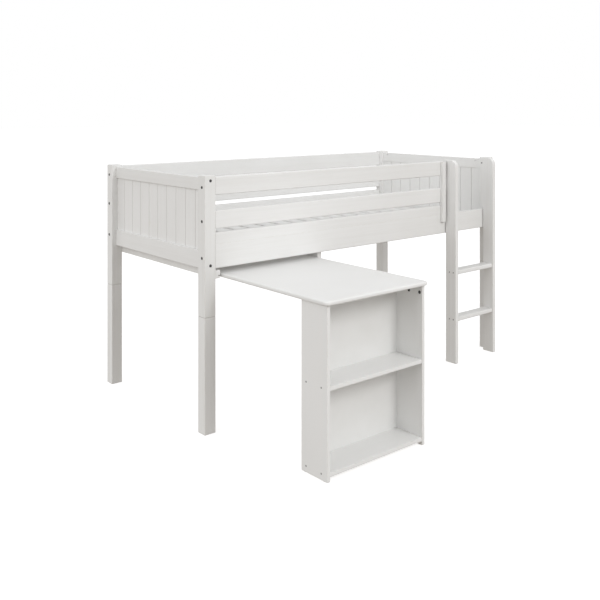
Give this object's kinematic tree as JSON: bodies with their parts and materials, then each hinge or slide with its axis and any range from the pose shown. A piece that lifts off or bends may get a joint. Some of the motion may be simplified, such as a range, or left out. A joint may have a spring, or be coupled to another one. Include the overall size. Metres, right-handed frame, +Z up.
{
  "type": "loft bed",
  "caption": "white wooden mid-height sleeper bed with slatted base, front ladder, guard rails and a desk with shelf unit that slides under the bed",
  "frame": {"origin": "on the floor under the middle of the whole object's box, with the desk pulled out", "axes": "+X along the bed from the desk end to the ladder end, +Y from the front (desk and ladder side) to the rear, +Z up"},
  "size_m": [2.1, 1.651, 1.16],
  "materials": {
    "white_paint": "satin white paint over solid pine and board",
    "white_board": "thin hardboard faced in matt white",
    "bare_pine": "planed and unfinished",
    "black_fixings": "black oxide",
    "zinc_steel": "bright zinc plate",
    "black_plastic": "moulded",
    "white_plastic": "moulded"
  },
  "bodies": {
    "bed_frame": {"barrel_nuts": "zinc_steel", "batten_screws": "zinc_steel", "bearer_screws": "zinc_steel", "end_rail_bolts": "black_fixings", "front_bed_rail": "white_paint", "front_left_leg": "white_paint", "front_left_post": "white_paint", "front_lower_guard": "white_paint", "front_middle_guard": "white_paint", "front_right_leg": "white_paint", "front_right_post": "white_paint", "front_slat_bearer": "white_paint", "front_top_guard": "white_paint", "guard_dowels": "bare_pine", "guard_end_batten": "white_paint", "ladder_bolts": "black_fixings", "ladder_left_stile": "white_paint", "ladder_lower_tread": "white_paint", "ladder_right_stile": "white_paint", "ladder_screws": "black_fixings", "ladder_spacers": "white_plastic", "ladder_upper_tread": "white_paint", "left_desk_runner": "white_paint", "left_end_bottom_rail": "white_paint", "left_end_panel": "white_paint", "left_end_top_rail": "white_paint", "leg_studs": "zinc_steel", "rear_bed_rail": "white_paint", "rear_left_leg": "white_paint", "rear_left_post": "white_paint", "rear_lower_guard": "white_paint", "rear_middle_guard": "white_paint", "rear_right_leg": "white_paint", "rear_right_post": "white_paint", "rear_slat_bearer": "white_paint", "rear_top_guard": "white_paint", "right_desk_runner": "white_paint", "right_end_bottom_rail": "white_paint", "right_end_panel": "white_paint", "right_end_top_rail": "white_paint", "runner_packers": "white_paint", "runner_screws": "zinc_steel", "runner_stop_screws": "zinc_steel", "side_rail_bolts": "black_fixings", "slat_screws": "zinc_steel", "slats": "white_paint"},
    "desk": {"desk_back_panel": "white_board", "desk_bottom_shelf": "white_paint", "desk_cam_dowels": "bare_pine", "desk_cams": "black_fixings", "desk_glides": "black_plastic", "desk_guide_pins": "zinc_steel", "desk_left_side": "white_paint", "desk_middle_shelf": "white_paint", "desk_right_side": "white_paint", "desktop": "white_paint", "shelf_screws": "black_fixings"}
  },
  "joints": [
    {"name": "desk_slide", "type": "slide", "parent": "bed_frame", "child": "desk", "axis": [0, 1, 0], "range_m": [0, 0.698]}
  ]
}
